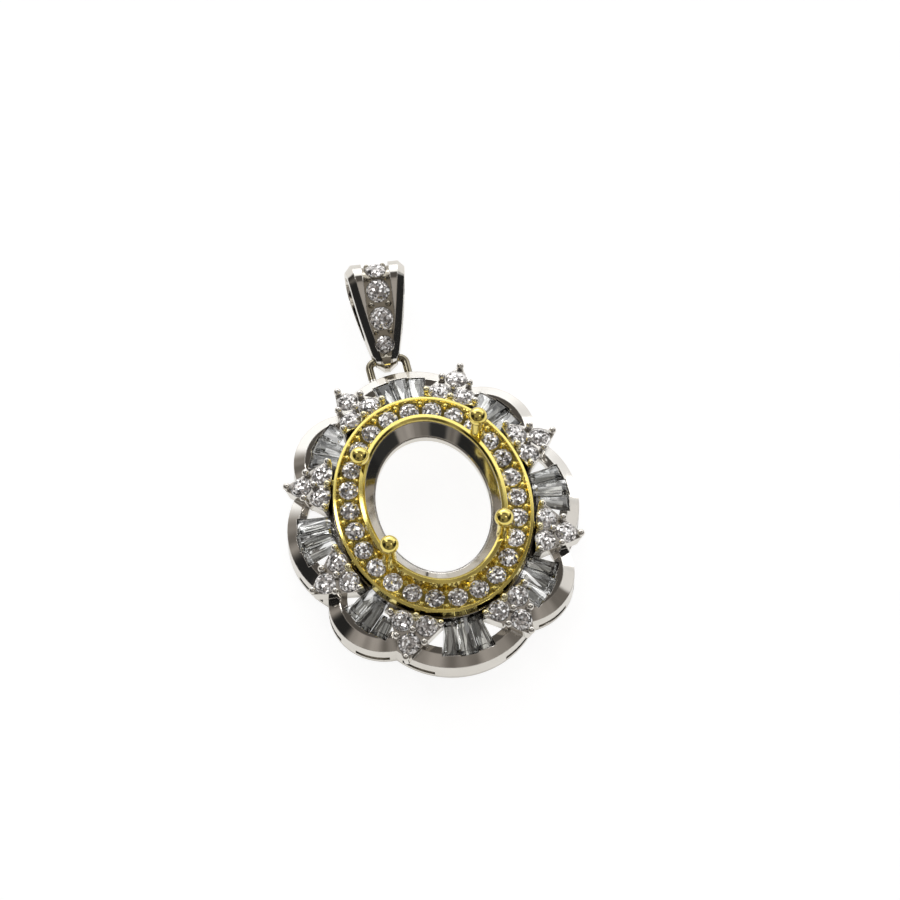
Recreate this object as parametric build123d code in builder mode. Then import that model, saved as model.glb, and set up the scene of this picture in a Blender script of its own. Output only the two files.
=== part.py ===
from build123d import *

import os
from collections import namedtuple
from math import asin, atan2, cos, degrees, hypot, radians, sin

# Oval pendant setting with an open centre, lying on its back.
# Millimetres. The origin is the middle of the oval at the back, +Z is the front,
# +Y points to the bail and +X to the right.

# Oval row of round stones
halo_half_width = 5.26
halo_half_length = 6.67
halo_stone_count = 26
halo_stone_size = 1.25
halo_table_height = 3.60

# Gold channel that holds the oval row
outer_rim_reach = 0.98
outer_rim_width = 0.19
outer_rim_slope = 0.13
outer_rim_drop = 0.10
outer_rim_fall = 0.05
inner_rim_reach = 0.90
inner_rim_width = 0.24
inner_rim_rise = 0.65
inner_rim_fall = 0.06
lip_width = 0.15
lip_slope = 0.11
lip_edge = 0.18
channel_thickness = 0.55
channel_depth = 0.30
bead_radius = 0.20
bead_offset = 0.52
gold_tie_length = 0.45
gold_tie_width = 0.34
gold_tie_height = 0.30
gold_tie_drop = 0.05

# Gold ball prongs for the centre stone
ball_radius = 0.60
stem_tip_radius = 0.34
stem_foot_radius = 0.52
stem_foot_depth = 0.70

# White collar inside the gold channel
collar_wall = 0.22
collar_lean_side = 0.64
collar_lean_end = 0.84
collar_depth = 0.80
seat_ledge = 0.10
seat_edge = 0.48
flange_width = 0.75
flange_thickness = 0.40

# Lobes around the oval
end_lobe_reach = 10.60
end_lobe_radius = 5.60
end_rim_width = 0.60
side_lobe_reach = 9.33
side_lobe_radius = 5.57
side_rim_width = 0.55
corner_lobe_reach = 10.12
corner_lobe_bearing = 49.0
corner_lobe_radius = 3.53
corner_rim_width = 1.04
corner_row_bearing = 47.0
corner_row_turn = 36.0
wall_height = 1.43
wall_thickness = 0.50
bevel_width = 0.72
bevel_drop = 0.43
deck_width = 1.20
deck_thickness = 0.55
slot_bottom = 0.28
slot_height = 0.34
slot_length = 2.20
slot_margin = 0.45

# Baguettes, three in each lobe
baguette_outer_width = 1.12
baguette_inner_width = 0.73
baguette_length = 2.35
baguette_step = 0.20
corner_shortfall = 0.25
hidden_shortfall = 0.75
baguette_height = 0.80
baguette_crown = 0.24
baguette_girdle = 0.06
baguette_table_inset = 0.24
baguette_keel_inset = 0.33
baguette_tilt = 17.0
baguette_rise = 0.10
row_gap = 0.05
baguette_ledge = 0.12
baguette_ledge_drop = 0.20

# Rail that carries the inner ends of the baguettes
rail_reach = 1.03
rail_width = 0.35
rail_bottom = 1.50
rail_ledge_reach = 1.32
rail_ledge_height = 2.17

# Trios of round stones between the lobes
trio_stone_size = 1.35
trio_spacing = 1.56
trio_height = 3.03
trio_tilt = 15.0
end_trio_distance = 8.645
end_trio_bearing = 68.1
end_trio_turn = 62.5
side_trio_distance = 7.706
side_trio_bearing = 24.8
side_trio_turn = 16.6
trio_head_pad = 0.60
trio_head_thickness = 1.10
prong_radius = 0.18
prong_tip_radius = 0.24
prong_lug_radius = 0.20
trio_post_radius = 0.36
corner_post_radius = 0.50
bridge_width = 0.70

# Ring soldered to the head lobe, and the bail on it
ring_shift = -0.30
ring_height = 1.00
ring_reach = 1.30
ring_half_width = 1.19
ring_corner = 0.45
ring_wire = 0.50
ring_root = 0.35
bail_turn = 6.0
bail_length = 4.97
bail_rise = 0.65
bail_tip_radius = 0.80
bail_top_radius = 1.65
bail_tip_half_width = 0.60
bail_waist_half_width = 1.40
bail_waist_along = 2.60
bail_top_half_width = 2.02
bail_front_leg = 0.85
bail_back_leg = 0.45
bail_loop_start = 1.60
bail_loop_radius = 0.40
bail_hole_clearance = 0.16
bail_facet = 0.44
bail_channel_half_width = 0.88
bail_channel_tip_half_width = 0.32
bail_channel_start = -0.15
bail_channel_drop = 0.60
bail_channel_depth = 0.26
bail_bead_radius = 0.19
bail_bead_share = 0.37
bail_stone_sink = 0.08
bail_end_bead_radius = 0.24
bail_end_bead_along = 0.06
bail_top_bead_along = 7.20

# Cut of the round stones, as shares of the diameter
table_share = 0.57
crown_share = 0.155
girdle_share = 0.03
pavilion_share = 0.43
star_angle = 20.0
upper_half_angle = 41.5
lower_half_angle = 42.2

# Clearances
stone_clearance = 0.02
solder_gap = 0.05

# One row for each centre prong: which quadrant it stands in, the bearing of its foot and
# how far out from the inner rim's face that is, and how far its ball leans from the foot,
# all for the prong as bent by hand
CentreProng = namedtuple("CentreProng", "side end foot_bearing foot_reach lean_x lean_y rise")
centre_prongs = [
    CentreProng(-1, 1, 49.6, 0.45, 0.49, -1.24, 2.99),
    CentreProng(1, 1, 45.5, 0.50, 0.0, 0.06, 2.99),
    CentreProng(-1, -1, 44.0, 0.15, 0.0, 0.0, 2.99),
    CentreProng(1, -1, 41.6, 0.17, 0.0, 0.0, 2.99),
]

# One row for each trio: quadrant, distance and bearing of its middle, and its turn
Trio = namedtuple("Trio", "name side end distance bearing turn")
# One row for each lobe: rim disc, then the row of baguettes with three stone lengths
Lobe = namedtuple("Lobe", "name reach bearing radius row_reach row_bearing row_turn lengths")
# One row for each bail stone: diameter and its place along the front of the bail
BailStone = namedtuple("BailStone", "size along")
bail_stones = [
    BailStone(1.40, 6.30),
    BailStone(1.50, 4.49),
    BailStone(1.50, 2.66),
    BailStone(1.15, 0.93),
]


def mirrored(bearing, side, end):
    """Bearing in degrees of a direction mirrored into the quadrant (side, end)."""
    return degrees(atan2(end * sin(radians(bearing)), side * cos(radians(bearing))))


def polar(distance, bearing):
    return Vector(distance * cos(radians(bearing)), distance * sin(radians(bearing)))


def bearing_of(place):
    return degrees(atan2(place.Y, place.X))


def cross_sign(place, lobe):
    """Positive where a lobe lies anticlockwise of a place, seen from the front."""
    return place.X * sin(radians(lobe.bearing)) - place.Y * cos(radians(lobe.bearing))


def oval_axes(offset):
    """Half width and half length of the oval at an offset outwards from the stone row."""
    return halo_half_width + offset, halo_half_length + offset


def oval_distance(bearing, offset=0.0):
    """Distance from the middle to the oval along a bearing."""
    half_width, half_length = oval_axes(offset)
    return 1 / hypot(cos(radians(bearing)) / half_width, sin(radians(bearing)) / half_length)


def oval_normal(point):
    """Direction that leaves the stone row at right angles, in degrees."""
    return degrees(atan2(point.Y / halo_half_length**2, point.X / halo_half_width**2))


def oval_ring(outer, inner, low, high, mode=Mode.ADD):
    """Upright ring between two offsets of the oval; with no inner offset it is a disc."""
    with BuildSketch(Plane.XY.offset(low)) as ring:
        Ellipse(*oval_axes(outer))
        if inner is not None:
            Ellipse(*oval_axes(inner), mode=Mode.SUBTRACT)
    extrude(ring.sketch, amount=high - low, mode=mode)


def oval_funnel(low_axes, low, high_axes, high, mode):
    """Solid between a low oval and a high oval with straight sloping sides."""
    with BuildSketch(Plane.XY.offset(low)) as bottom:
        Ellipse(*low_axes)
    with BuildSketch(Plane.XY.offset(high)) as top:
        Ellipse(*high_axes)
    loft([bottom.sketch.face(), top.sketch.face()], ruled=True, mode=mode)


def outward(bearing, distance, height):
    """Upright local frame at a place, whose x axis points along a bearing."""
    place = polar(distance, bearing)
    return Plane(origin=(place.X, place.Y, height), x_dir=polar(1, bearing))


def rim_meeting(first, second):
    """Place where the rim circles of two neighbouring lobes cross, on the outside."""
    start = polar(first.reach - first.radius, first.bearing)
    across = polar(second.reach - second.radius, second.bearing) - start
    apart = across.length
    along = (apart**2 + first.radius**2 - second.radius**2) / (2 * apart)
    aside = (first.radius**2 - along**2) ** 0.5
    square = Vector(-across.Y, across.X) / apart
    crossings = [start + across * (along / apart) + square * way * aside for way in (-1, 1)]
    return max(crossings, key=lambda place: place.length)


# Heights that follow from the sizes above
channel_floor = halo_table_height - channel_depth
channel_bottom = channel_floor - channel_thickness
outer_rim_top = halo_table_height - outer_rim_drop
inner_rim_top = halo_table_height + inner_rim_rise
lip_top = inner_rim_top - lip_slope
lip_bottom = lip_top - lip_edge
channel_reach = outer_rim_reach - outer_rim_width - outer_rim_slope
inner_rim_start = inner_rim_width - inner_rim_reach
lip_reach = inner_rim_reach + lip_width
collar_reach = inner_rim_reach + solder_gap
collar_top = lip_bottom - solder_gap
flange_top = channel_bottom - solder_gap
deck_top = wall_height + bevel_drop
trio_radius = trio_spacing / 3**0.5

lobes = []
for side, end in ((1, 1), (-1, 1), (-1, -1), (1, -1)):
    corner = mirrored(corner_lobe_bearing, side, end)
    turned = mirrored(corner_row_turn, side, end)
    lengths = [
        baguette_length - corner_shortfall,
        baguette_length - corner_shortfall,
        baguette_length - corner_shortfall - hidden_shortfall,
    ]
    if side * end < 0:
        lengths.reverse()
    lobes.append(
        Lobe(
            f"corner_{len(lobes) + 1}",
            corner_lobe_reach,
            corner,
            corner_lobe_radius,
            corner_lobe_reach - corner_rim_width,
            mirrored(corner_row_bearing, side, end),
            turned,
            lengths,
        )
    )
for name, bearing in (("head", 90.0), ("foot", 270.0)):
    lengths = [baguette_length - baguette_step, baguette_length, baguette_length - baguette_step]
    row_reach = end_lobe_reach - end_rim_width
    lobes.append(
        Lobe(name, end_lobe_reach, bearing, end_lobe_radius, row_reach, bearing, bearing, lengths)
    )
for name, bearing in (("right", 0.0), ("left", 180.0)):
    lengths = [baguette_length - baguette_step, baguette_length, baguette_length - baguette_step]
    row_reach = side_lobe_reach - side_rim_width
    lobes.append(
        Lobe(name, side_lobe_reach, bearing, side_lobe_radius, row_reach, bearing, bearing, lengths)
    )

trios = []
for side, end in ((1, 1), (-1, 1), (-1, -1), (1, -1)):
    quadrant = len(trios) // 2 + 1
    trios.append(
        Trio(f"end_{quadrant}", side, end, end_trio_distance, end_trio_bearing, end_trio_turn)
    )
    trios.append(
        Trio(f"side_{quadrant}", side, end, side_trio_distance, side_trio_bearing, side_trio_turn)
    )


def trio_plane(trio):
    """Frame at the middle of a trio's tables: x outwards, tilted down outwards."""
    place = polar(trio.distance, mirrored(trio.bearing, trio.side, trio.end))
    turn = mirrored(trio.turn, trio.side, trio.end)
    out = polar(cos(radians(trio_tilt)), turn)
    return Plane(
        origin=(place.X, place.Y, trio_height),
        x_dir=(out.X, out.Y, -sin(radians(trio_tilt))),
        z_dir=polar(sin(radians(trio_tilt)), turn) + Vector(0, 0, cos(radians(trio_tilt))),
    )


trio_planes = [trio_plane(trio) for trio in trios]

# Places of the round prongs in a trio's frame, each clear of the stones beside it
prong_gap = trio_stone_size / 2 + prong_radius + 2 * stone_clearance
corner_lean = radians(67)
corner_prongs = [(trio_radius + prong_gap, 0)]
shared_prongs = [(0, 0), (-trio_radius, 0)]
for way in (-1, 1):
    shared_prongs.append((0.66 * trio_radius, way * trio_radius))
    corner_prongs.append(
        (
            -trio_radius / 2 - prong_gap * cos(corner_lean),
            way * (trio_spacing / 2 + prong_gap * sin(corner_lean)),
        )
    )
prong_places = corner_prongs + shared_prongs


def baguette_planes(lobe):
    """Frames of a lobe's three baguettes: origin at the outer end, x outwards."""
    pitch_outer = baguette_outer_width + row_gap
    pitch_inner = baguette_inner_width + row_gap
    fan_angle = (pitch_outer - pitch_inner) / (baguette_length * cos(radians(baguette_tilt)))
    fan_radius = pitch_outer / fan_angle
    middle = polar(lobe.row_reach, lobe.row_bearing)
    fan_centre = middle - polar(fan_radius, lobe.row_turn)
    planes = []
    for place in (-1, 0, 1):
        turn = lobe.row_turn + place * degrees(fan_angle)
        origin = fan_centre + polar(fan_radius - abs(place) * baguette_step / 2, turn)
        out = polar(cos(radians(baguette_tilt)), turn)
        planes.append(
            Plane(
                origin=(origin.X, origin.Y, deck_top + baguette_rise),
                x_dir=(out.X, out.Y, -sin(radians(baguette_tilt))),
                z_dir=polar(sin(radians(baguette_tilt)), turn)
                + Vector(0, 0, cos(radians(baguette_tilt))),
            )
        )
    return planes


def tapered_outline(plane, length, inset):
    """Outline of a baguette in its frame, drawn in by an inset on every side."""
    taper = (baguette_outer_width - baguette_inner_width) / baguette_length / 2

    def half_width(inwards):
        return baguette_outer_width / 2 - taper * inwards - inset

    with BuildSketch(plane) as shape:
        with BuildLine():
            Polyline(
                (-inset, half_width(inset)),
                (-length + inset, half_width(length - inset)),
                (-length + inset, -half_width(length - inset)),
                (-inset, -half_width(inset)),
                close=True,
            )
        make_face()
    return shape.sketch.face()


def brilliant(size):
    """Round stone with table, crown, girdle and pavilion facets; its table is at z = 0."""
    radius = size / 2
    crown = crown_share * size
    girdle = girdle_share * size
    pavilion = pavilion_share * size
    table_radius = radius * table_share
    crown_slope = degrees(atan2(crown, radius - table_radius))
    pavilion_slope = degrees(atan2(pavilion, radius))
    base = -crown - girdle

    def facet(bearing, distance, height, slope, up=1):
        """Cut everything outside a plane that falls away along a bearing."""
        place = polar(distance, bearing)
        lean = polar(sin(radians(slope)), bearing)
        facing = Vector(lean.X, lean.Y, up * cos(radians(slope)))
        split(bisect_by=Plane(origin=(place.X, place.Y, height), z_dir=facing), keep=Keep.BOTTOM)

    with BuildPart() as stone:
        with BuildSketch(Plane.XY.offset(base - 2 * pavilion)):
            RegularPolygon(radius, 16)
        extrude(amount=crown + girdle + 2 * pavilion)
        for step in range(8):
            facet(45 * step, radius, -crown, crown_slope)
            facet(45 * step + 22.5, table_radius * cos(radians(22.5)), 0, star_angle)
            facet(45 * step, radius, base, pavilion_slope, up=-1)
        for step in range(16):
            edge = radius * cos(radians(11.25))
            facet(22.5 * step + 11.25, edge, -crown, upper_half_angle)
            facet(22.5 * step + 11.25, edge, base, lower_half_angle, up=-1)
    return stone.part


def stone_seat(size, depth):
    """Tool that clears a round stone: a straight bore above, a cone and a hole below."""
    radius = size / 2 + stone_clearance
    crown = crown_share * size
    hole = size * 0.28
    girdle_low = -crown - girdle_share * size - stone_clearance
    cone = (radius - hole) * pavilion_share * 2
    with BuildPart() as seat:
        with BuildSketch(Plane.XZ):
            with BuildLine():
                Polyline(
                    (0, 2 * crown),
                    (radius, 2 * crown),
                    (radius, girdle_low),
                    (hole, girdle_low - cone),
                    (hole, -depth),
                    (0, -depth),
                    close=True,
                )
            make_face()
        revolve(axis=Axis.Z)
    return seat.part


# Frames of the stones in the oval row, evenly spaced along it
halo_plane = Plane(origin=(0, 0, halo_table_height), x_dir=(0, 1, 0))
halo_line = Edge.make_ellipse(halo_half_length, halo_half_width, halo_plane)
halo_pitch = halo_line.length / halo_stone_count
halo_places = []
bead_places = []
for step in range(halo_stone_count):
    halo_places.append(halo_line.position_at(step * halo_pitch, PositionMode.LENGTH))
    between = halo_line.position_at((step + 0.5) * halo_pitch, PositionMode.LENGTH)
    for way in (-1, 1):
        shift = polar(way * bead_offset, oval_normal(between))
        bead_places.append(Vector(between.X + shift.X, between.Y + shift.Y, channel_floor))

halo_frames = [Plane(place, x_dir=polar(1, oval_normal(place))).location for place in halo_places]
halo_stone = brilliant(halo_stone_size)
with BuildPart() as halo_stones:
    with Locations(*halo_frames):
        add(halo_stone)
halo_stones.part.label = "halo_stones"

# Gold ties end just short of the innermost prong of each trio
tie_planes = []
for trio, plane in zip(trios, trio_planes):
    foot = plane.from_local_coords((-trio_radius, 0, 0))
    turn = mirrored(trio.turn, trio.side, trio.end)
    place = Vector(foot.X, foot.Y) - polar(prong_tip_radius + solder_gap, turn)
    tie_top = outer_rim_top - gold_tie_drop
    tie_planes.append(Plane(origin=(place.X, place.Y, tie_top), x_dir=polar(1, turn)))

with BuildPart() as gold_halo:
    oval_ring(outer_rim_reach, None, channel_bottom, outer_rim_top - outer_rim_fall)
    oval_funnel(
        oval_axes(outer_rim_reach),
        outer_rim_top - outer_rim_fall,
        oval_axes(outer_rim_reach - outer_rim_width),
        outer_rim_top,
        mode=Mode.ADD,
    )
    oval_funnel(
        oval_axes(channel_reach),
        channel_floor,
        oval_axes(channel_reach + outer_rim_slope),
        outer_rim_top,
        mode=Mode.SUBTRACT,
    )
    oval_ring(inner_rim_start, None, channel_floor, inner_rim_top - inner_rim_fall)
    oval_funnel(
        oval_axes(inner_rim_start),
        inner_rim_top - inner_rim_fall,
        oval_axes(-inner_rim_reach),
        inner_rim_top,
        mode=Mode.ADD,
    )
    oval_ring(-lip_reach, None, channel_bottom, inner_rim_top, mode=Mode.SUBTRACT)
    oval_funnel(
        oval_axes(-lip_reach),
        lip_top,
        oval_axes(-inner_rim_reach),
        inner_rim_top,
        mode=Mode.SUBTRACT,
    )
    with Locations(*bead_places):
        Sphere(bead_radius)
    with Locations(*[plane.location for plane in tie_planes]):
        Box(
            gold_tie_length,
            gold_tie_width,
            gold_tie_height,
            align=(Align.MAX, Align.CENTER, Align.MAX),
        )
    for prong in centre_prongs:
        bearing = mirrored(prong.foot_bearing, prong.side, prong.end)
        foot = polar(oval_distance(bearing, -inner_rim_reach) + prong.foot_reach, bearing)
        foot = Vector(foot.X, foot.Y, lip_bottom - stem_foot_depth)
        tip = foot + Vector(prong.side * prong.lean_x, prong.end * prong.lean_y, prong.rise)
        stem = Plane(origin=foot, z_dir=tip - foot)
        with BuildSketch(Plane(foot)) as stem_foot:
            Circle(stem_foot_radius)
        with BuildSketch(Plane(origin=tip, z_dir=stem.z_dir)) as stem_tip:
            Circle(stem_tip_radius)
        loft([stem_foot.sketch.face(), stem_tip.sketch.face()], ruled=True)
        with Locations(tip):
            Sphere(ball_radius)
    oval_ring(-inner_rim_reach, None, channel_bottom - 1, lip_bottom, mode=Mode.SUBTRACT)
    halo_seat = stone_seat(halo_stone_size, halo_table_height - channel_bottom + stone_clearance)
    with Locations(*halo_frames):
        add(halo_seat, mode=Mode.SUBTRACT)
gold_halo.part.label = "gold_halo"

# Outline of the eight lobes
with BuildSketch() as outline:
    for lobe in lobes:
        with Locations(polar(lobe.reach - lobe.radius, lobe.bearing)):
            Circle(lobe.radius)


# Each pair of neighbouring lobes, with the place where their rims meet
meetings = []
for corner in lobes[:4]:
    for neighbour in lobes[4:]:
        if (polar(1, neighbour.bearing) - polar(1, corner.bearing)).length < 1:
            meetings.append((corner, neighbour, rim_meeting(corner, neighbour)))


def drawn_in(amount):
    """The lobed outline, drawn in all round."""
    with BuildSketch() as inside:
        add(outline.sketch)
        offset(amount=-amount)
    return inside.sketch


opening_axes = (
    halo_half_width - lip_reach - collar_lean_side,
    halo_half_length - lip_reach - collar_lean_end,
)
ledge_axes = (opening_axes[0] + seat_ledge, opening_axes[1] + seat_ledge)
seat_height = lip_top - collar_depth
collar_low = seat_height - seat_edge
flange_bottom = flange_top - flange_thickness
head_seat = -(crown_share + girdle_share) * trio_stone_size
baguette_seat = -(baguette_crown + baguette_girdle + baguette_ledge_drop)
hinge_reach = end_lobe_reach + ring_reach

# One trio head in its own frame, and the tool for its three seats
with BuildPart() as trio_head:
    with BuildSketch(Plane.XY.offset(head_seat)):
        with PolarLocations(trio_radius, 3):
            Circle(trio_head_pad)
        with Locations(*corner_prongs):
            Circle(prong_lug_radius)
        make_hull()
    extrude(amount=-trio_head_thickness)
    with Locations(*prong_places):
        Cylinder(prong_radius, trio_head_thickness, align=(Align.CENTER, Align.CENTER, Align.MAX))
        Sphere(prong_tip_radius)

trio_seat = stone_seat(trio_stone_size, trio_head_thickness - head_seat + stone_clearance)
with BuildPart() as trio_seats:
    with PolarLocations(trio_radius, 3):
        add(trio_seat)

with BuildPart() as white_frame:
    extrude(outline.sketch, amount=deck_top)
    deck = white_frame.faces().sort_by(Axis.Z)[-1]
    chamfer(deck.outer_wire().edges(), length=bevel_width, length2=bevel_drop, reference=deck)
    extrude(drawn_in(wall_thickness), amount=deck_top - deck_thickness, mode=Mode.SUBTRACT)
    extrude(drawn_in(deck_width), amount=2 * deck_top, mode=Mode.SUBTRACT)

    # Ring for the bail
    with BuildLine(Plane.XY.offset(ring_height)):
        ring_line = FilletPolyline(
            (ring_shift - ring_half_width, end_lobe_reach - ring_root),
            (ring_shift - ring_half_width, hinge_reach),
            (ring_shift + ring_half_width, hinge_reach),
            (ring_shift + ring_half_width, end_lobe_reach - ring_root),
            radius=ring_corner,
        )
    with BuildSketch(Plane(origin=ring_line @ 0, z_dir=ring_line % 0)):
        Circle(ring_wire / 2)
    sweep()

    # Pierced gallery: two level slots in the wall of each lobe, next to its neighbours
    slot_planes = []
    for first, second, meeting in meetings:
        for lobe, other in ((first, second), (second, first)):
            middle = polar(lobe.reach - lobe.radius, lobe.bearing)
            turn = bearing_of(meeting - middle)
            way = 1 if cross_sign(meeting, other) > 0 else -1
            turn -= way * degrees((slot_margin + slot_length / 2) / lobe.radius)
            place = middle + polar(lobe.radius, turn)
            slot_planes.append(
                Plane(origin=(place.X, place.Y, slot_bottom), x_dir=polar(1, turn))
            )
    with Locations(*[plane.location for plane in slot_planes]):
        Box(
            3 * wall_thickness,
            slot_length,
            slot_height,
            align=(Align.CENTER, Align.CENTER, Align.MIN),
            mode=Mode.SUBTRACT,
        )

    # Collar with its sloping inside and the ledge for the centre stone
    oval_ring(-collar_reach, None, flange_bottom, collar_top)
    oval_ring(-collar_reach - collar_wall, None, flange_bottom, collar_low, mode=Mode.SUBTRACT)
    oval_funnel(ledge_axes, seat_height, oval_axes(-lip_reach), collar_top, mode=Mode.SUBTRACT)
    with BuildSketch(Plane.XY.offset(collar_low)) as opening:
        Ellipse(*opening_axes)
    extrude(opening.sketch, amount=collar_top - collar_low, mode=Mode.SUBTRACT)

    # Flange under the gold channel, and the rail for the inner ends of the baguettes
    flange_reach = flange_width - collar_reach
    oval_ring(flange_reach, -collar_reach - collar_wall, flange_bottom, flange_top)
    oval_ring(rail_reach, rail_reach - rail_width, rail_bottom, flange_top)
    oval_ring(rail_ledge_reach, rail_reach - rail_width, rail_bottom, rail_ledge_height)

    # Bridges from the flange to the trio heads, and a post under each head
    for trio in trios:
        bearing = mirrored(trio.bearing, trio.side, trio.end)
        start = oval_distance(bearing, -inner_rim_reach)
        with Locations(outward(bearing, start, flange_top).location):
            Box(
                trio.distance - start,
                bridge_width,
                flange_thickness,
                align=(Align.MIN, Align.CENTER, Align.MAX),
            )
    with Locations(*[(plane.origin.X, plane.origin.Y) for plane in trio_planes]):
        Cylinder(
            trio_post_radius,
            trio_height - trio_head_thickness,
            align=(Align.CENTER, Align.CENTER, Align.MIN),
        )

    # Posts inside the rim where two lobes meet
    corner_places = []
    for first, second, meeting in meetings:
        corner_places.append(meeting * (1 - corner_post_radius / meeting.length))
    with Locations(*corner_places):
        Cylinder(
            corner_post_radius,
            wall_height,
            align=(Align.CENTER, Align.CENTER, Align.MIN),
        )

    # Heads of the trios with their prongs, then the seats through them
    trio_frames = [plane.location for plane in trio_planes]
    with Locations(*trio_frames):
        add(trio_head.part)
    with Locations(*trio_frames):
        add(trio_seats.part, mode=Mode.SUBTRACT)

    # Pockets of the baguettes: the full outline down to the ledge, a smaller one through it
    pockets = []
    drains = []
    for lobe in lobes:
        for plane, length in zip(baguette_planes(lobe), lobe.lengths):
            ledge_plane = plane.offset(baguette_seat)
            pockets.append(tapered_outline(ledge_plane, length, -stone_clearance))
            drains.append(tapered_outline(ledge_plane, length, baguette_ledge))
    extrude(pockets, amount=2 * baguette_height, mode=Mode.SUBTRACT)
    extrude(drains, amount=baguette_seat - baguette_height, mode=Mode.SUBTRACT)
white_frame.part.label = "white_frame"


# Round stones of the trios
trio_stone = brilliant(trio_stone_size)
trio_groups = []
for trio, plane in zip(trios, trio_planes):
    with BuildPart() as group:
        with Locations(plane.location):
            with PolarLocations(trio_radius, 3):
                add(trio_stone)
    group.part.label = f"trio_{trio.name}"
    trio_groups.append(group.part)

# Tapered baguettes with a flat table and stepped sides: one row for each level of the
# cut, with its depth below the table and how far it is drawn in
baguette_pavilion = baguette_height - baguette_crown - baguette_girdle
cut_levels = [
    (0, baguette_table_inset),
    (0.38 * baguette_crown, 0.45 * baguette_table_inset),
    (baguette_crown, 0),
    (baguette_crown + baguette_girdle, 0),
    (baguette_height - 0.62 * baguette_pavilion, 0.30 * baguette_keel_inset),
    (baguette_height - 0.26 * baguette_pavilion, 0.68 * baguette_keel_inset),
    (baguette_height, baguette_keel_inset),
]
baguettes = []
for lobe in lobes:
    for place, plane in enumerate(baguette_planes(lobe)):
        length = lobe.lengths[place]
        with BuildPart() as baguette:
            loft(
                [tapered_outline(plane.offset(-drop), length, inset) for drop, inset in cut_levels],
                ruled=True,
            )
        baguette.part.label = f"baguette_{lobe.name}_{place + 1}"
        baguettes.append(baguette.part)

# Frames of the bail: seen from the front, and from the side with x along the bail
bail_plane = Plane(origin=(ring_shift, hinge_reach, ring_height), x_dir=polar(1, -bail_turn))
side_plane = Plane(origin=bail_plane.origin, x_dir=bail_plane.y_dir, z_dir=bail_plane.x_dir)
bail_reach = hypot(bail_length, bail_rise)
bail_swell = bail_top_radius - bail_tip_radius
bail_run = (bail_reach**2 - bail_swell**2) ** 0.5
bail_slope = degrees(atan2(bail_rise, bail_length) + asin(bail_swell / bail_reach))


def bail_side(growth):
    """Side outline of the bail, grown all round."""
    with BuildSketch(side_plane) as side:
        Circle(bail_tip_radius + growth)
        with Locations((bail_length, bail_rise)):
            Circle(bail_top_radius + growth)
        make_hull()
    return side.sketch.face()


def bail_place(distance, sink):
    """Frame on the front of the bail at a distance along it, sunk below the surface."""
    lean = bail_slope
    start = Vector(-bail_tip_radius * sin(radians(lean)), bail_tip_radius * cos(radians(lean)))
    place = start + polar(distance, lean)
    if distance > bail_run:
        lean = bail_slope - degrees((distance - bail_run) / bail_top_radius)
        place = Vector(bail_length, bail_rise) + polar(bail_top_radius, lean + 90)
    place = place - polar(sink, lean + 90)
    facing = bail_plane.z_dir * cos(radians(lean)) - bail_plane.y_dir * sin(radians(lean))
    return Plane(side_plane.from_local_coords(place), x_dir=bail_plane.x_dir, z_dir=facing)


bail_channel_end = bail_length + 2 * bail_top_radius
with BuildPart() as bail_channel:
    with BuildSketch(bail_plane.offset(bail_rise - bail_channel_drop)):
        with BuildLine():
            Polyline(
                (-bail_channel_tip_half_width, bail_channel_start),
                (bail_channel_tip_half_width, bail_channel_start),
                (bail_channel_half_width, bail_waist_along),
                (bail_channel_half_width, bail_channel_end),
                (-bail_channel_half_width, bail_channel_end),
                (-bail_channel_half_width, bail_waist_along),
                close=True,
            )
        make_face()
    extrude(amount=2 * bail_top_radius)
    extrude(
        bail_side(-bail_channel_depth),
        amount=2 * bail_top_half_width,
        both=True,
        mode=Mode.SUBTRACT,
    )

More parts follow.
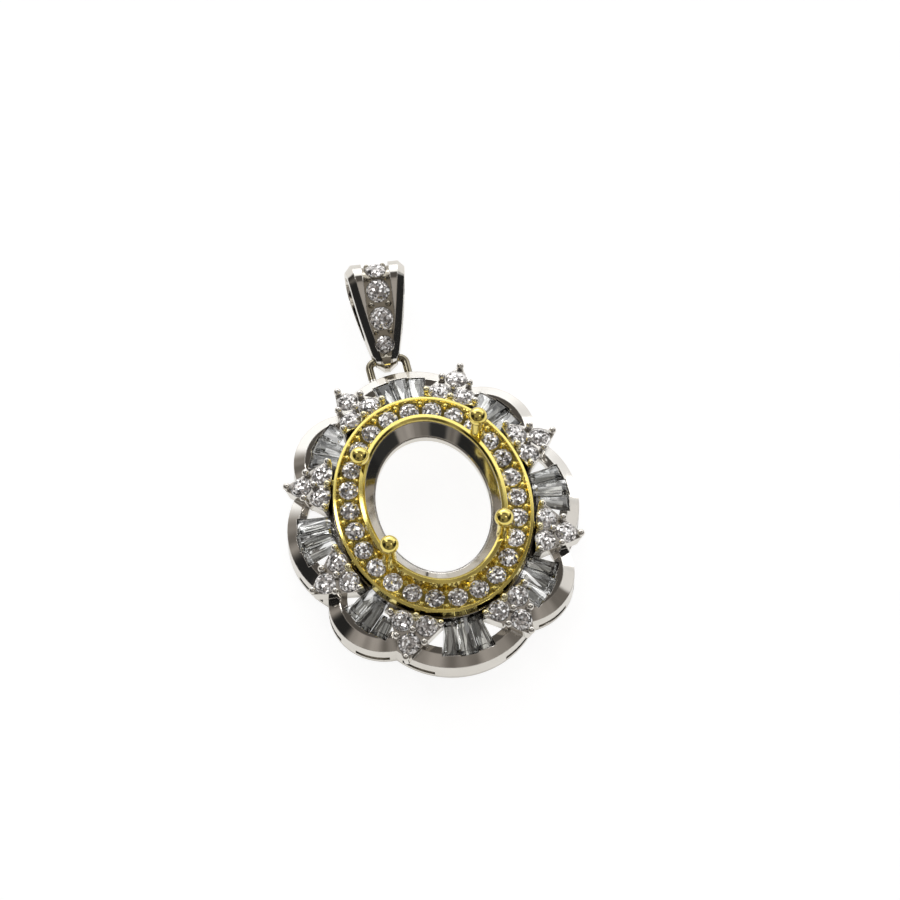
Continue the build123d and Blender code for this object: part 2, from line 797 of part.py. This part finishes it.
with BuildPart() as bail:
    extrude(bail_side(0), amount=2 * bail_top_half_width, both=True)
    with BuildSketch(bail_plane):
        with BuildLine():
            side_line = ThreePointArc(
                (bail_tip_half_width, -bail_tip_radius),
                (bail_waist_half_width, bail_waist_along),
                (bail_top_half_width, bail_length + bail_top_radius),
            )
            other_line = mirror(side_line, about=Plane.YZ)
            Line(side_line @ 0, other_line @ 0)
            Line(side_line @ 1, other_line @ 1)
        make_face()
    extrude(amount=3 * bail_top_radius, both=True, mode=Mode.INTERSECT)

    # Sloping facets along both sides of the front
    rims = []
    for edge in bail.edges():
        middle = bail_plane.to_local_coords(edge.center())
        if middle.Z > bail_rise / 2 and abs(middle.X) > bail_tip_half_width / 2:
            rims.append(edge)
    chamfer(rims, length=bail_facet)

    # Passage for the chain between the legs, and the hole for the ring
    with BuildSketch(side_plane):
        with Locations((bail_loop_start + bail_loop_radius, 0)):
            Circle(bail_loop_radius)
        with Locations((bail_length, bail_rise - (bail_front_leg - bail_back_leg) / 2)):
            Circle(bail_top_radius - (bail_front_leg + bail_back_leg) / 2)
        make_hull()
    extrude(amount=2 * bail_top_half_width, both=True, mode=Mode.SUBTRACT)
    with BuildSketch(side_plane):
        Circle(ring_wire / 2 + bail_hole_clearance)
    extrude(amount=2 * bail_top_half_width, both=True, mode=Mode.SUBTRACT)

    # Sunk channel with beads and seats
    add(bail_channel.part, mode=Mode.SUBTRACT)
    for first, second in zip(bail_stones, bail_stones[1:]):
        between = bail_place((first.along + second.along) / 2, bail_channel_depth)
        aside = bail_bead_share * (first.size + second.size) / 2
        with Locations(between.location):
            with Locations((aside, 0), (-aside, 0)):
                Sphere(bail_bead_radius)
    with Locations(bail_place(bail_end_bead_along, bail_channel_depth).location):
        Sphere(bail_end_bead_radius)
    with Locations(bail_place(bail_top_bead_along, bail_channel_depth).location):
        aside = bail_bead_share * bail_stones[0].size
        with Locations((aside, 0), (-aside, 0)):
            Sphere(bail_bead_radius)
    for stone in bail_stones:
        depth = (crown_share + girdle_share + pavilion_share) * stone.size + stone_clearance
        with Locations(bail_place(stone.along, bail_stone_sink).location):
            add(stone_seat(stone.size, depth), mode=Mode.SUBTRACT)
bail.part.label = "bail"

# Graduated stones down the front of the bail
bail_gems = []
for count, stone in enumerate(bail_stones):
    with BuildPart() as gem:
        with Locations(bail_place(stone.along, bail_stone_sink).location):
            add(brilliant(stone.size))
    gem.part.label = f"bail_stone_{count + 1}"
    bail_gems.append(gem.part)

os.makedirs("parts", exist_ok=True)
export_step(gold_halo.part, "parts/gold_halo.step")
export_step(halo_stones.part, "parts/halo_stones.step")
export_step(white_frame.part, "parts/white_frame.step")
export_step(bail.part, "parts/bail.step")
for piece in trio_groups + baguettes + bail_gems:
    export_step(piece, f"parts/{piece.label}.step")
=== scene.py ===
import bpy
import math
from collections import namedtuple
from mathutils import Matrix, Vector


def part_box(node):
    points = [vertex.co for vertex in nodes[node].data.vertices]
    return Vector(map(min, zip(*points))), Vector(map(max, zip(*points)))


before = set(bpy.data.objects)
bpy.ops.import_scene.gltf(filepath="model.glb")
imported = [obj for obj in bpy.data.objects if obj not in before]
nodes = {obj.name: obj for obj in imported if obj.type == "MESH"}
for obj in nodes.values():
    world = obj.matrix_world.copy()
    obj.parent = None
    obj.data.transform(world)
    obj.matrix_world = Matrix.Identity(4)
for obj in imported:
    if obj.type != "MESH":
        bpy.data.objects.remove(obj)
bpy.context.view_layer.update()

MM = 0.001

# Polished metal: long waves of the hand polish, fine grain, soft edges, painted shade in the
# hollows
WAVE_SCALE = 420.0
GRAIN_SCALE = 5200.0
EDGE_RADIUS = 0.08 * MM
HOLLOW_SHADE_REACH = 0.6 * MM
HOLLOW_SHADE_OPENNESS = (0.15, 0.75)

# Oval band in which the white prongs stand next to the gold ring
RING_TINT_HALF_WIDTH = 6.62 * MM
RING_TINT_HALF_LENGTH = 8.05 * MM
RING_TINT_BAND = (0.80, 1.08)
RING_TINT_BOTTOM = 2.95 * MM
RING_TINT_COLOR = (0.93, 0.86, 0.56)

# The soldered ring is the white metal past this distance from the middle
SOLDER_START = 10.62 * MM
SOLDER_COLOR = (0.30, 0.27, 0.20)

# Channel of the bail: distances along it from its last stone, and its half width there
CHANNEL_ALONG = (-0.9 * MM, 1.6 * MM)
CHANNEL_HALF_WIDTH = (0.40 * MM, 0.86 * MM)
CHANNEL_BOTTOM = 1.25 * MM
# Colour of the painted shade on the channel floor
CHANNEL_SHADE_COLOR = (0.40, 0.37, 0.31)

# The pattern of a long stone is drawn out along it, so its lengths count this share only
CELL_STRETCH = 0.14

# White paper floor, and how far from the middle its reflection fades
FLOOR_SIZE = 1.2
FLOOR_FADE = (0.05, 0.16)

# Camera at the angle of the photograph: it looks at a place beside the middle of the oval
CAMERA_AZIMUTH = -13.39
CAMERA_ELEVATION = 62.92
CAMERA_DISTANCE = 333.33 * MM
CAMERA_RIGHT = 1.0495 * MM
CAMERA_UP = 3.293 * MM
CAMERA_MIDDLE = (0.0, 0.0, 3.6 * MM)
CAMERA_LENS = 212.16
CAMERA_SENSOR = 36.0


class Tree:
    """Short way to add and join shader nodes."""

    def __init__(self, tree):
        self.tree = tree
        tree.nodes.clear()

    def put(self, value, socket):
        """Set a socket to a value, or join it to an output."""
        if isinstance(value, bpy.types.NodeSocket):
            self.tree.links.new(value, socket)
        elif socket.type == "RGBA" and len(value) == 3:
            socket.default_value = (*value, 1.0)
        else:
            socket.default_value = value

    def add(self, kind, inputs=(), **settings):
        node = self.tree.nodes.new(kind)
        for name, value in settings.items():
            setattr(node, name, value)
        for name, value in dict(inputs).items():
            self.put(value, node.inputs[name])
        return node

    def math(self, operation, *values):
        node = self.add("ShaderNodeMath", inputs=enumerate(values), operation=operation)
        return node.outputs[0]

    def vector(self, operation, *values):
        """Vector arithmetic, whose result is a number for a dot product or a length."""
        node = self.add("ShaderNodeVectorMath", inputs=enumerate(values), operation=operation)
        return node.outputs["Value" if operation in ("DOT_PRODUCT", "LENGTH") else "Vector"]

    def split(self, vector):
        return self.add("ShaderNodeSeparateXYZ", inputs={"Vector": vector}).outputs

    def join(self, *parts):
        return self.add("ShaderNodeCombineXYZ", inputs=enumerate(parts)).outputs[0]

    def noise(self, place, scale, detail):
        inputs = {"Vector": place, "Scale": scale, "Detail": detail}
        return self.add("ShaderNodeTexNoise", inputs=inputs).outputs["Fac"]

    def ramp(self, factor, stops):
        node = self.add("ShaderNodeValToRGB", inputs={"Fac": factor})
        elements = node.color_ramp.elements
        while len(elements) < len(stops):
            elements.new(0.5)
        for element, (place, color) in zip(elements, stops):
            element.position = place
            element.color = (*color, 1.0)
        return node.outputs["Color"]

    def mix(self, factor, first, second):
        inputs = {0: factor, 6: first, 7: second}
        return self.add("ShaderNodeMix", inputs=inputs, data_type="RGBA").outputs[2]

    def rise(self, value, low, high):
        """0 at the first value and 1 at the second, with a soft start and end."""
        inputs = {"Value": value, "From Min": low, "From Max": high}
        node = self.add("ShaderNodeMapRange", inputs=inputs, interpolation_type="SMOOTHSTEP")
        return node.outputs["Result"]

    def coordinates(self, kind):
        return self.add("ShaderNodeTexCoord").outputs[kind]


def material(name):
    made = bpy.data.materials.new(name)
    made.use_nodes = True
    return made, Tree(made.node_tree)


def surface(tree, inputs):
    """Give a material one principled shader."""
    shader = tree.add("ShaderNodeBsdfPrincipled", inputs=inputs)
    tree.add("ShaderNodeOutputMaterial", inputs={"Surface": shader.outputs[0]})
    return shader


def paint(name, made):
    mesh = nodes[name].data
    mesh.materials.clear()
    mesh.materials.append(made)
    for polygon in mesh.polygons:
        polygon.material_index = 0


def grey(value, warm=0.0):
    return (value * (1 + warm), value, value * (1 - warm))


# What metal() makes: the material, its node tree, shader and place on the object, its colour with
# the painted shade of its hollows
Metal = namedtuple("Metal", "material tree shader place tint")


def metal(name, color, dark, hollow_shade, roughness, wave):
    """Polished precious metal with hand-polish waves, soft edges and painted shade in its hollows.
    """
    made, tree = material(name)
    place = tree.coordinates("Object")
    waves = tree.noise(place, WAVE_SCALE, 2.0)
    grain = tree.noise(place, GRAIN_SCALE, 3.0)
    bevel = tree.add("ShaderNodeBevel", inputs={"Radius": EDGE_RADIUS}, samples=4)
    bump = tree.add(
        "ShaderNodeBump",
        inputs={
            "Strength": 1.0,
            "Distance": wave,
            "Height": waves,
            "Normal": bevel.outputs[0],
        },
    )
    # Painted shade: where ambient occlusion finds the surface closed in, the colour darkens to the
    # hollow shade colour
    nearby = tree.add("ShaderNodeAmbientOcclusion", inputs={"Distance": HOLLOW_SHADE_REACH}, samples=4)
    closed, opened = HOLLOW_SHADE_OPENNESS
    openness = tree.ramp(nearby.outputs["AO"], [(closed, (0, 0, 0)), (opened, (1, 1, 1))])
    tint = tree.mix(openness, hollow_shade, tree.mix(waves, dark, color))
    shader = surface(
        tree,
        {
            "Base Color": tint,
            "Metallic": 1.0,
            "Roughness": tree.math("MULTIPLY_ADD", grain, roughness, roughness * 0.5),
            "Normal": bump.outputs[0],
        },
    )
    return Metal(made, tree, shader, place, tint)


def between(tree, value, limits):
    """1 where a value lies between two limits, and 0 elsewhere."""
    low, high = limits
    above = tree.math("GREATER_THAN", value, low)
    return tree.math("MULTIPLY", tree.math("LESS_THAN", value, high), above)


white_gold = metal(
    "rhodium_white_gold",
    color=(0.90, 0.88, 0.84),
    dark=(0.74, 0.71, 0.66),
    hollow_shade=(0.16, 0.145, 0.125),
    roughness=0.07,
    wave=0.010 * MM,
)
yellow_gold = metal(
    "yellow_gold",
    color=(0.98, 0.83, 0.28),
    dark=(0.91, 0.74, 0.20),
    hollow_shade=(0.70, 0.53, 0.13),
    roughness=0.08,
    wave=0.008 * MM,
)
bail_metal = metal(
    "bail_white_gold",
    color=(0.92, 0.90, 0.86),
    dark=(0.78, 0.75, 0.70),
    hollow_shade=(0.10, 0.09, 0.075),
    roughness=0.06,
    wave=0.008 * MM,
)

# Prongs that stand next to the gold ring carry some of its colour
tree = white_gold.tree
x, y, z = tree.split(white_gold.place)
oval = tree.math(
    "ADD",
    tree.math("POWER", tree.math("DIVIDE", x, RING_TINT_HALF_WIDTH), 2.0),
    tree.math("POWER", tree.math("DIVIDE", y, RING_TINT_HALF_LENGTH), 2.0),
)
high = tree.math("GREATER_THAN", z, RING_TINT_BOTTOM)
near_ring = tree.math("MULTIPLY", between(tree, oval, RING_TINT_BAND), high)
ring_tinted = tree.mix(near_ring, white_gold.tint, RING_TINT_COLOR)

# The soldered ring is coloured darker than the polished frame
soldered = tree.math("GREATER_THAN", y, SOLDER_START)
tree.put(tree.mix(soldered, ring_tinted, SOLDER_COLOR), white_gold.shader.inputs["Base Color"])


def middle(name):
    low, high = (Vector(corner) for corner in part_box(name))
    return (low + high) / 2


# Painted shade darkens the floor of the channel that holds the bail's stones, between its polished
# edges
foot = middle("bail_stone_4")
run = middle("bail_stone_1") - foot
axis = Vector((run.x, run.y, 0.0)).normalized()
tree = bail_metal.tree
away = tree.vector("SUBTRACT", bail_metal.place, foot)
aside = tree.math("ABSOLUTE", tree.vector("DOT_PRODUCT", away, Vector((axis.y, -axis.x, 0.0))))
half_width = tree.add(
    "ShaderNodeMapRange",
    inputs={
        "Value": tree.vector("DOT_PRODUCT", away, axis),
        "From Min": CHANNEL_ALONG[0],
        "From Max": CHANNEL_ALONG[1],
        "To Min": CHANNEL_HALF_WIDTH[0],
        "To Max": CHANNEL_HALF_WIDTH[1],
    },
).outputs["Result"]
inside = tree.math("LESS_THAN", aside, half_width)
front = tree.math("GREATER_THAN", tree.split(bail_metal.place)[2], CHANNEL_BOTTOM)
channel = tree.math("MULTIPLY", inside, front)
shaded_channel = tree.mix(channel, bail_metal.tint, CHANNEL_SHADE_COLOR)
tree.put(shaded_channel, bail_metal.shader.inputs["Base Color"])


def gem(name, color, index, cells, lean, mirror, shades, glints, fan=0.0):
    """Clear cut stone whose small cells lean each its own way, like back facets, and carry painted
    reflections.

    The shades are stops of painted brightness and the glints stops of painted glow over the cells,
    and a fan draws the cells out along a line from the middle of the object, as on a long stone
    that points away.
    """
    made, tree = material(name)
    place = tree.coordinates("Object")
    if fan:
        x, y, z = tree.split(place)
        place = tree.join(
            tree.math("MULTIPLY", tree.math("ARCTAN2", y, x), fan),
            tree.math("MULTIPLY", tree.vector("LENGTH", tree.join(x, y)), CELL_STRETCH),
            tree.math("MULTIPLY", z, CELL_STRETCH),
        )
    crush = tree.add("ShaderNodeTexVoronoi", inputs={"Vector": place, "Scale": cells})
    cell = crush.outputs["Color"]
    facing = tree.add("ShaderNodeNewGeometry").outputs["Normal"]
    slant = tree.vector("SUBTRACT", cell, (0.5, 0.5, 0.5))
    leaning = tree.vector("MULTIPLY_ADD", slant, (lean, lean, lean), facing)
    parts = tree.add("ShaderNodeSeparateColor", inputs={"Color": cell}).outputs
    # Base colour per cell is a painted reflection from dark to bright, and emission per cell a
    # painted glint
    stops = [(level, tuple(shade * share for share in color)) for level, shade in shades]
    surface(
        tree,
        {
            "Base Color": tree.ramp(parts[0], stops),
            "Roughness": 0.0,
            "IOR": index,
            "Metallic": mirror,
            "Transmission Weight": 1.0,
            "Normal": tree.vector("NORMALIZE", leaning),
            "Emission Color": tree.ramp(parts[1], [(level, grey(glow)) for level, glow in glints]),
            "Emission Strength": 1.0,
        },
    )
    return made


brilliant = gem(
    "brilliant_stone",
    color=(0.99, 0.95, 0.93),
    index=2.30,
    cells=7500.0,
    lean=0.60,
    mirror=0.55,
    shades=[(0.0, 0.04), (0.22, 0.30), (0.50, 0.74), (1.0, 0.92)],
    glints=[(0.58, 0.0), (0.78, 0.10), (1.0, 0.60)],
)
baguette = gem(
    "baguette_stone",
    color=(0.96, 0.97, 0.95),
    index=1.80,
    cells=4000.0,
    lean=0.12,
    mirror=0.12,
    shades=[(0.0, 0.10), (0.38, 0.24), (0.65, 0.70), (1.0, 1.0)],
    glints=[(0.84, 0.0), (1.0, 0.70)],
    fan=8.0 * MM,
)

# Metals keep the shading that they came with, and cut stones are flat on every facet
metals = {
    "gold_halo": yellow_gold.material,
    "white_frame": white_gold.material,
    "bail": bail_metal.material,
}
for name in nodes:
    if name in metals:
        paint(name, metals[name])
        continue
    paint(name, baguette if name.startswith("baguette") else brilliant)
    for polygon in nodes[name].data.polygons:
        polygon.use_smooth = False

# Floor: plain white paper, a little darker in what the metal and stones show of it
bpy.ops.mesh.primitive_plane_add(size=FLOOR_SIZE, location=(0, 0, 0))
floor = bpy.context.object
floor.name = "floor"
paper, tree = material("white_paper")
path = tree.add("ShaderNodeLightPath").outputs
reach = tree.vector("LENGTH", tree.coordinates("Object"))
mirrored = tree.mix(tree.rise(reach, *FLOOR_FADE), (0.70, 0.69, 0.67), (0.06, 0.06, 0.055))
glow = tree.mix(path["Is Glossy Ray"], (0.88, 0.88, 0.88), mirrored)
glow = tree.mix(path["Is Transmission Ray"], glow, (0.60, 0.59, 0.56))
surface(
    tree,
    {
        "Base Color": (0.30, 0.30, 0.30),
        "Roughness": 0.9,
        "Specular IOR Level": 0.0,
        "Emission Color": glow,
        "Emission Strength": 1.0,
    },
)
floor.data.materials.append(paper)

# Room light: a dim warm room with one broad window low at the back
world = bpy.data.worlds.new("studio")
bpy.context.scene.world = world
world.use_nodes = True
tree = Tree(world.node_tree)
direction = tree.coordinates("Generated")
x, y, z = tree.split(direction)
glow = tree.ramp(
    tree.noise(direction, 3.5, 1.5),
    [(0.35, grey(0.14, 0.10)), (0.65, grey(0.34, 0.08))],
)
glow = tree.mix(tree.rise(z, 0.04, 0.30), grey(0.04, 0.10), glow)

# Round patches of the room, with a full shade up to an inner angle that ends at an outer one
Patch = namedtuple("Patch", "aim inner outer shade")
patches = [
    # Pale wall on the right and dark ceiling over the flat tops
    Patch((0.86, 0.08, 0.50), 9, 15, grey(0.80, 0.02)),
    Patch((0.10, 0.45, 0.89), 10, 20, grey(0.08, 0.10)),
    # Dark furniture, seen in the collar, the ball prongs and the sides of the bail
    Patch((-0.47, -0.70, 0.53), 10, 18, grey(0.03)),
    Patch((0.72, -0.55, 0.42), 12, 17, grey(0.03)),
    Patch((-0.91, 0.00, 0.38), 19, 26, grey(0.02)),
    Patch((0.94, -0.31, 0.16), 20, 27, grey(0.03)),
    Patch((0.985, 0.02, 0.05), 14, 20, grey(0.02)),
    # Small lamps that glint in the stones
    Patch((-0.40, 0.45, 0.80), 3, 5, grey(6.0)),
    Patch((0.35, -0.35, 0.87), 3, 5, grey(5.0)),
]
for patch in patches:
    toward = tree.vector("DOT_PRODUCT", direction, Vector(patch.aim).normalized())
    edge = math.cos(math.radians(patch.outer))
    full = math.cos(math.radians(patch.inner))
    glow = tree.mix(tree.rise(toward, edge, full), glow, patch.shade)

# The window lies behind the object, ends on the left and is dimmer on the right
window = tree.math("MULTIPLY", tree.rise(y, 0.20, 0.34), tree.rise(z, 0.80, 0.70))
window = tree.math("MULTIPLY", window, tree.rise(x, -0.64, -0.50))
dimmed = tree.math("MULTIPLY_ADD", tree.rise(x, 0.55, 0.75), -0.3, 1.0)
glow = tree.mix(tree.math("MULTIPLY", window, dimmed), glow, grey(1.25))

# The camera itself sees plain white behind the floor
seen = tree.add("ShaderNodeBackground", inputs={"Color": grey(1.0), "Strength": 1.0})
lit = tree.add("ShaderNodeBackground", inputs={"Color": glow, "Strength": 1.0})
path = tree.add("ShaderNodeLightPath").outputs
choice = tree.add(
    "ShaderNodeMixShader",
    inputs={0: path["Is Camera Ray"], 1: lit.outputs[0], 2: seen.outputs[0]},
)
tree.add("ShaderNodeOutputWorld", inputs={"Surface": choice.outputs[0]})

# Soft boxes that face the object
SoftBox = namedtuple("SoftBox", "name place width height power")
for box in (
    SoftBox("right_box", (0.49, 0.26, 0.22), 0.16, 0.14, 0.08),
    SoftBox("back_box", (0.02, 0.55, 0.24), 0.40, 0.16, 0.5),
):
    data = bpy.data.lights.new(box.name, "AREA")
    data.shape = "RECTANGLE"
    data.size = box.width
    data.size_y = box.height
    data.energy = box.power
    lamp = bpy.data.objects.new(box.name, data)
    bpy.context.scene.collection.objects.link(lamp)
    lamp.location = box.place
    lamp.rotation_euler = (-Vector(box.place)).to_track_quat("-Z", "Y").to_euler()

# Camera
azimuth = math.radians(CAMERA_AZIMUTH)
elevation = math.radians(CAMERA_ELEVATION)
right = Vector((math.cos(azimuth), math.sin(azimuth), 0.0))
back = Vector(
    (
        math.sin(azimuth) * math.cos(elevation),
        -math.cos(azimuth) * math.cos(elevation),
        math.sin(elevation),
    )
)
up = back.cross(right)
camera_data = bpy.data.cameras.new("camera")
camera_data.sensor_width = CAMERA_SENSOR
camera_data.lens = CAMERA_LENS
camera_data.clip_start = 0.01
camera_data.clip_end = 10.0
camera = bpy.data.objects.new("camera", camera_data)
bpy.context.scene.collection.objects.link(camera)
centre = Vector(CAMERA_MIDDLE)
centre += CAMERA_RIGHT * right + CAMERA_UP * up + CAMERA_DISTANCE * back
turn = Matrix((right, up, back)).transposed()
camera.matrix_world = Matrix.Translation(centre) @ turn.to_4x4()
bpy.context.scene.camera = camera
bpy.context.scene.view_settings.view_transform = "Standard"
